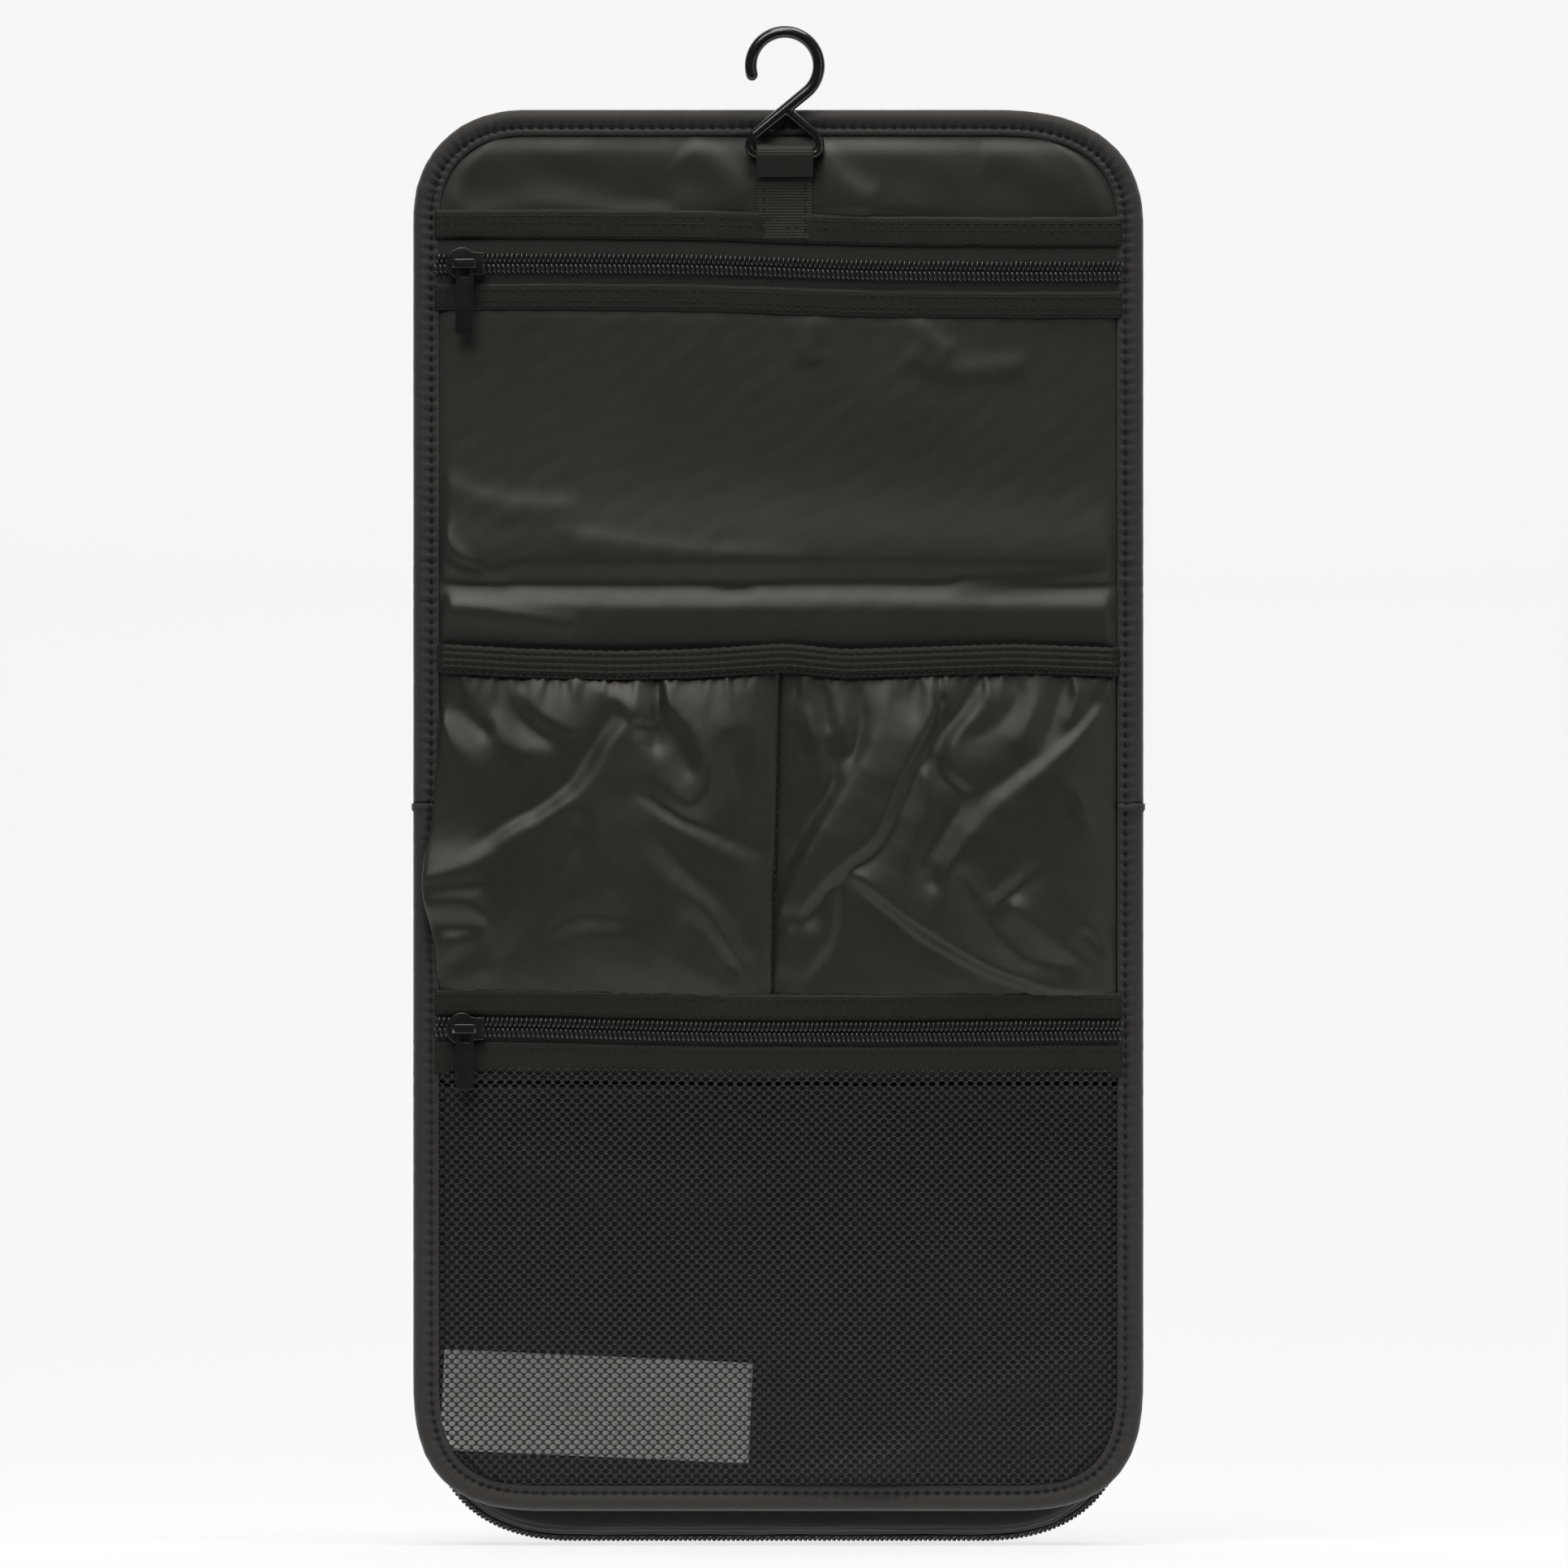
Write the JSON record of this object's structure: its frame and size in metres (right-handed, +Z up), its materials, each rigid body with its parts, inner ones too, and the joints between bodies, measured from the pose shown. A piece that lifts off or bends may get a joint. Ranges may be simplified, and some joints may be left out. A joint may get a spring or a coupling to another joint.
{
  "type": "hanging toiletry bag",
  "caption": "Fold-out hanging toiletry bag: swivel hook, padded folding panels, zipped top and net pockets, gathered pockets and a zip-round compartment behind.",
  "frame": {"origin": "inside top of the hook's arc, where it sits on a rail", "axes": "+Z up the bag as it hangs, the open front faces -Y, +X to the right as seen from the front"},
  "size_m": [0.2245, 0.0524, 0.4661],
  "materials": {
    "hook_plastic": "glossy black moulded plastic",
    "webbing": "ribbed black webbing",
    "lining": "satin twill lining, near black",
    "foam": "soft closed-cell foam sheet",
    "cover": "matt charcoal woven nylon",
    "binding": "soft matt charcoal binding, rolled and stitched",
    "grosgrain": "black grosgrain tape",
    "zip": "black nylon coil on woven tape",
    "slider_metal": "gloss black painted metal",
    "elastic": "ribbed elastic casing",
    "net": "black knitted net",
    "label": "white woven satin label, blank"
  },
  "bodies": {
    "hook": {"hanging_hook": "hook_plastic"},
    "top_panel": {"hanging_strap": "webbing", "top_lining": "lining", "top_padding": "foam", "top_cover": "cover", "top_binding": "binding", "top_pocket_header": "lining", "top_pocket_front": "lining", "top_zip_upper_stringer": "zip", "top_zip_lower_stringer": "zip", "top_zip_upper_trim": "grosgrain", "top_zip_lower_trim": "grosgrain"},
    "top_slider": {"top_zip_slider": "slider_metal"},
    "top_puller": {"top_zip_puller": "slider_metal"},
    "middle_panel": {"middle_lining": "lining", "middle_padding": "foam", "middle_cover": "cover", "middle_binding_left": "binding", "middle_binding_right": "binding", "left_gathered_pocket": "lining", "right_gathered_pocket": "lining", "pocket_elastic": "elastic", "mesh_zip_upper_stringer": "zip", "mesh_zip_lower_stringer": "zip", "mesh_zip_upper_trim": "grosgrain", "mesh_zip_lower_trim": "grosgrain"},
    "mesh_slider": {"mesh_zip_slider": "slider_metal"},
    "mesh_puller": {"mesh_zip_puller": "slider_metal"},
    "bag_body": {"bottom_lining": "lining", "bottom_padding": "foam", "compartment_front_wall": "cover", "bottom_binding": "binding", "net_pocket": "net", "care_label": "label", "front_gusset": "cover", "main_zip_front_half": "zip"},
    "main_slider": {"main_zip_slider": "slider_metal"},
    "main_puller": {"main_zip_puller": "slider_metal"},
    "lid": {"main_zip_rear_half": "zip", "rear_gusset": "cover", "rear_piping": "binding", "rear_lining": "lining", "rear_cover": "cover"}
  },
  "joints": [
    {"name": "hook_swing", "type": "hinge", "parent": "hook", "child": "top_panel", "pos_m": [0, 0, -0.0358], "axis": [-1, 0, 0], "range_deg": [0, 175]},
    {"name": "upper_fold", "type": "hinge", "parent": "top_panel", "child": "middle_panel", "pos_m": [-0.002, -0.0049, -0.1674], "axis": [-1, 0, 0], "range_deg": [0, 180]},
    {"name": "lower_fold", "type": "hinge", "parent": "middle_panel", "child": "bag_body", "pos_m": [-0.002, -0.0099, -0.3216], "axis": [-1, 0, 0], "range_deg": [0, 180]},
    {"name": "top_zip_slide", "type": "slide", "parent": "top_panel", "child": "top_slider", "axis": [0.9999, 0, -0.0118], "range_m": [0, 0.188]},
    {"name": "top_puller_swing", "type": "hinge", "parent": "top_slider", "child": "top_puller", "pos_m": [-0.09829, -0.0021, -0.06946], "axis": [-0.9999, 0, 0.0118], "range_deg": [0, 175]},
    {"name": "mesh_zip_slide", "type": "slide", "parent": "middle_panel", "child": "mesh_slider", "axis": [1, 0, 0], "range_m": [0, 0.192]},
    {"name": "mesh_puller_swing", "type": "hinge", "parent": "mesh_slider", "child": "mesh_puller", "pos_m": [-0.0983, -0.0021, -0.3046], "axis": [-1, 0, 0], "range_deg": [0, 165]},
    {"name": "main_zip_slide", "type": "slide", "parent": "bag_body", "child": "main_slider", "axis": [0, 0, -1], "range_m": [0, 0.06]},
    {"name": "main_puller_swing", "type": "hinge", "parent": "main_slider", "child": "main_puller", "pos_m": [0.1076, 0.0293, -0.341], "axis": [0, -1, 0], "range_deg": [0, 170]},
    {"name": "lid_swing", "type": "hinge", "parent": "bag_body", "child": "lid", "pos_m": [-0.002, 0.0293, -0.3255], "axis": [1, 0, 0], "range_deg": [0, 100]}
  ]
}
